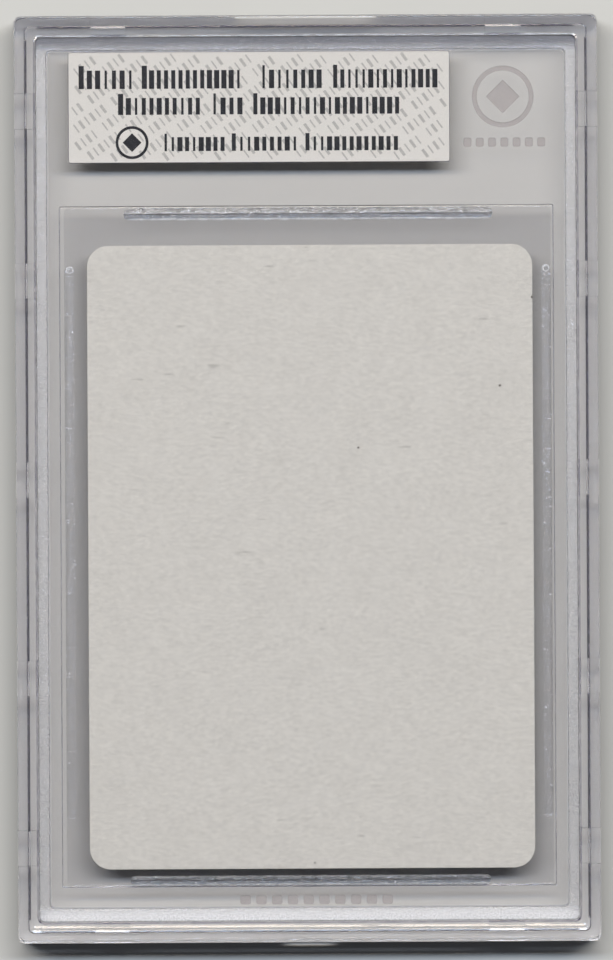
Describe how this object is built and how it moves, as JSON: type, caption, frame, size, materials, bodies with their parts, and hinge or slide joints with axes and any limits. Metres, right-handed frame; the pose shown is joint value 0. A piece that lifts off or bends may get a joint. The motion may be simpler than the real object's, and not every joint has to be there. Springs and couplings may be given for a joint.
{
  "type": "graded card slab",
  "caption": "Clear two-shell welded case that holds a sleeved trading card and a paper label, with a stepped back that nests into the lipped front of the next case.",
  "frame": {"origin": "under the middle of the slab, on the plane that the front lip rests on", "axes": "+Y towards the label end, +Z out of the back of the slab, +X to the right seen from the back"},
  "size_m": [0.083, 0.1323, 0.008],
  "materials": {
    "clear_shell": "clear injection-moulded polystyrene, polished, with fine scuffs",
    "melted_weld": "melted and frosted clear polystyrene",
    "sleeve_film": "thin clear polyester film",
    "card_board": "uncoated off-white paperboard with fine fibres",
    "label_paper": "smooth white printed paper"
  },
  "bodies": {
    "case": {"back_shell": "clear_shell", "front_shell": "clear_shell", "perimeter_weld": "melted_weld"},
    "sleeve": {"sleeve_front_sheet": "sleeve_film", "sleeve_back_sheet": "sleeve_film", "seam_top": "melted_weld", "seam_bottom": "melted_weld", "seam_left": "melted_weld", "seam_right": "melted_weld"},
    "card": {"trading_card": "card_board"},
    "label": {"grade_label": "label_paper"}
  },
  "joints": [
    {"name": "sleeve_shift", "type": "slide", "parent": "case", "child": "sleeve", "axis": [1, 0, 0], "range_m": [-0.0006, 0.0003]},
    {"name": "card_slide", "type": "slide", "parent": "sleeve", "child": "card", "axis": [0, 1, 0], "range_m": [-0.0008, 0.0034]},
    {"name": "label_shift", "type": "slide", "parent": "case", "child": "label", "axis": [1, 0, 0], "range_m": [-0.0003, 0.0003]}
  ]
}
